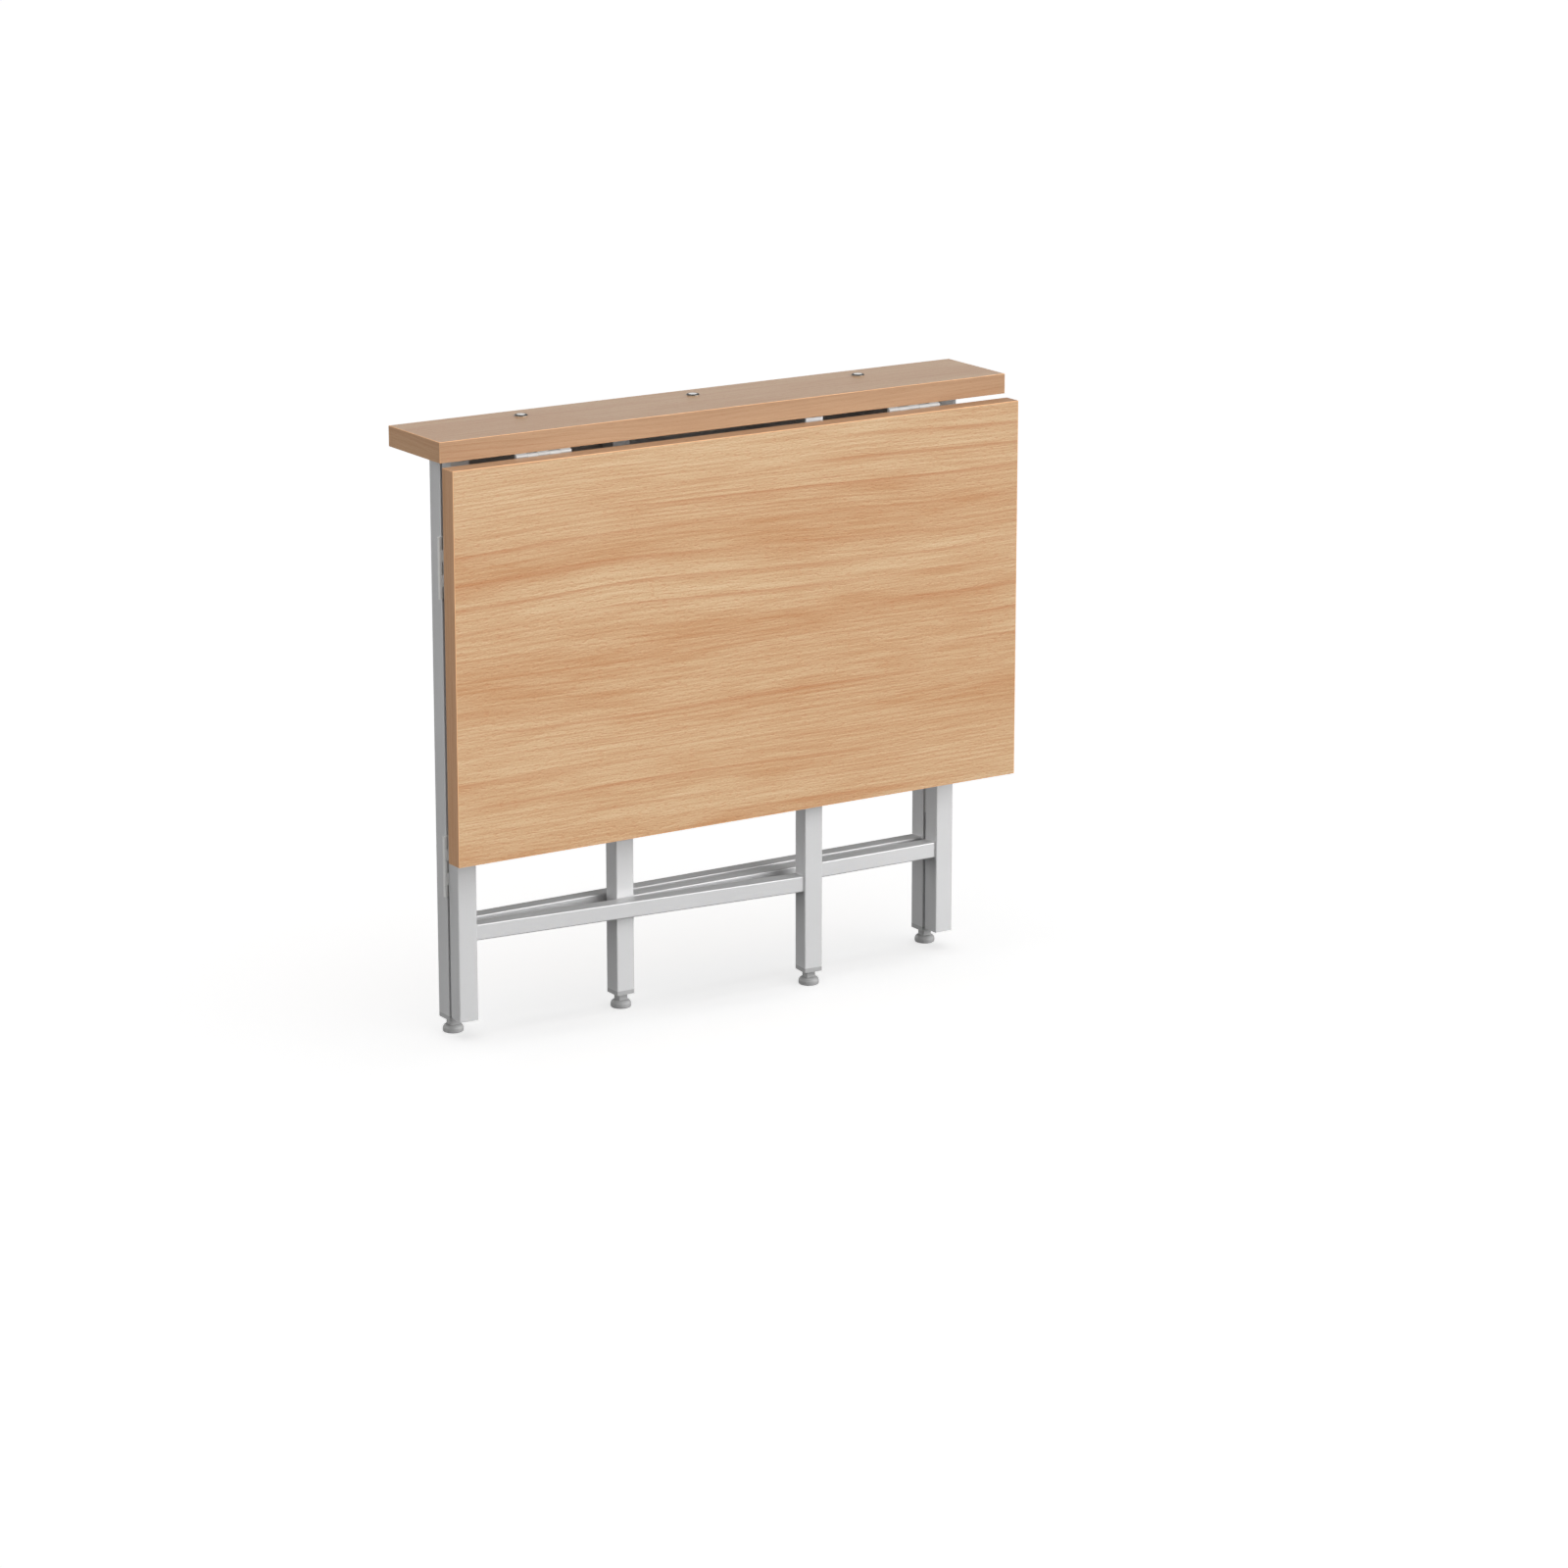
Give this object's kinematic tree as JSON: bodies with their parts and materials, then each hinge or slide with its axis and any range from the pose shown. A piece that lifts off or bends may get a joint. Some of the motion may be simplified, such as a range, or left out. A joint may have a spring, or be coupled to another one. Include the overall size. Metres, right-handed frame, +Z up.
{
  "type": "gateleg table",
  "caption": "Folding gateleg table: a narrow fixed top on a square tube frame, a hanging drop leaf, and hinged tube gates that swing out to carry the raised leaf.",
  "frame": {"origin": "on the floor, under the centre of the folded table's bounding box", "axes": "+X along the table towards its right end, +Y from the hanging leaf to the back of the fixed top, +Z up"},
  "size_m": [0.8, 0.1518, 0.7472],
  "materials": {
    "laminate": "satin beech laminate",
    "edge_banding": "satin beech-coloured edging",
    "silver_tube": "satin silver-grey powder coat",
    "hinge_steel": "bright plated",
    "zinc_fasteners": "zinc plated",
    "chrome_bolts": "polished",
    "grey_plastic": "matt grey moulding",
    "foot_plastic": "matt grey moulding"
  },
  "bodies": {
    "frame": {"fixed_frame_rivets": "zinc_fasteners", "fixed_lower_rail": "silver_tube", "fixed_top_rail": "silver_tube", "left_fixed_foot": "foot_plastic", "left_fixed_foot_insert": "grey_plastic", "left_fixed_post": "silver_tube", "left_fixed_post_plug": "grey_plastic", "left_leaf_hinge_pin": "hinge_steel", "left_leaf_hinge_top_plate": "hinge_steel", "left_leaf_hinge_top_screws": "zinc_fasteners", "left_lower_hinge_fixed_plate": "hinge_steel", "left_lower_hinge_pin": "hinge_steel", "left_upper_hinge_fixed_plate": "hinge_steel", "left_upper_hinge_pin": "hinge_steel", "right_fixed_foot": "foot_plastic", "right_fixed_foot_insert": "grey_plastic", "right_fixed_post": "silver_tube", "right_fixed_post_plug": "grey_plastic", "right_leaf_hinge_pin": "hinge_steel", "right_leaf_hinge_top_plate": "hinge_steel", "right_leaf_hinge_top_screws": "zinc_fasteners", "right_lower_hinge_fixed_plate": "hinge_steel", "right_lower_hinge_pin": "hinge_steel", "right_upper_hinge_fixed_plate": "hinge_steel", "right_upper_hinge_pin": "hinge_steel", "top_bolt_sleeves": "zinc_fasteners", "top_bolts": "chrome_bolts", "top_edge_banding": "edge_banding", "top_panel": "laminate"},
    "leaf": {"leaf_edge_banding": "edge_banding", "leaf_panel": "laminate", "left_leaf_hinge_leaf_plate": "hinge_steel", "left_leaf_hinge_leaf_screws": "zinc_fasteners", "right_leaf_hinge_leaf_plate": "hinge_steel", "right_leaf_hinge_leaf_screws": "zinc_fasteners"},
    "left_gate": {"left_gate_foot": "foot_plastic", "left_gate_foot_insert": "grey_plastic", "left_gate_hinge_post": "silver_tube", "left_gate_hinge_post_plug": "grey_plastic", "left_gate_leg": "silver_tube", "left_gate_leg_plug": "grey_plastic", "left_gate_lower_rail": "silver_tube", "left_gate_rivets": "zinc_fasteners", "left_gate_top_rail": "silver_tube", "left_lower_hinge_gate_plate": "hinge_steel", "left_upper_hinge_gate_plate": "hinge_steel"},
    "right_gate": {"right_gate_foot": "foot_plastic", "right_gate_foot_insert": "grey_plastic", "right_gate_hinge_post": "silver_tube", "right_gate_hinge_post_plug": "grey_plastic", "right_gate_leg": "silver_tube", "right_gate_leg_plug": "grey_plastic", "right_gate_lower_rail": "silver_tube", "right_gate_rivets": "zinc_fasteners", "right_gate_top_rail": "silver_tube", "right_lower_hinge_gate_plate": "hinge_steel", "right_upper_hinge_gate_plate": "hinge_steel"}
  },
  "joints": [
    {"name": "leaf_lift", "type": "hinge", "parent": "frame", "child": "leaf", "pos_m": [0, -0.0477, 0.7168], "axis": [-1, 0, 0], "range_deg": [0, 90]},
    {"name": "left_gate_swing", "type": "hinge", "parent": "frame", "child": "left_gate", "pos_m": [-0.3615, 0.02615, 0], "axis": [0, 0, -1], "range_deg": [-0.1, 0.7]},
    {"name": "right_gate_swing", "type": "hinge", "parent": "frame", "child": "right_gate", "pos_m": [0.3615, 0.02615, 0], "axis": [0, 0, 1], "range_deg": [-0.35, 0.05]}
  ]
}
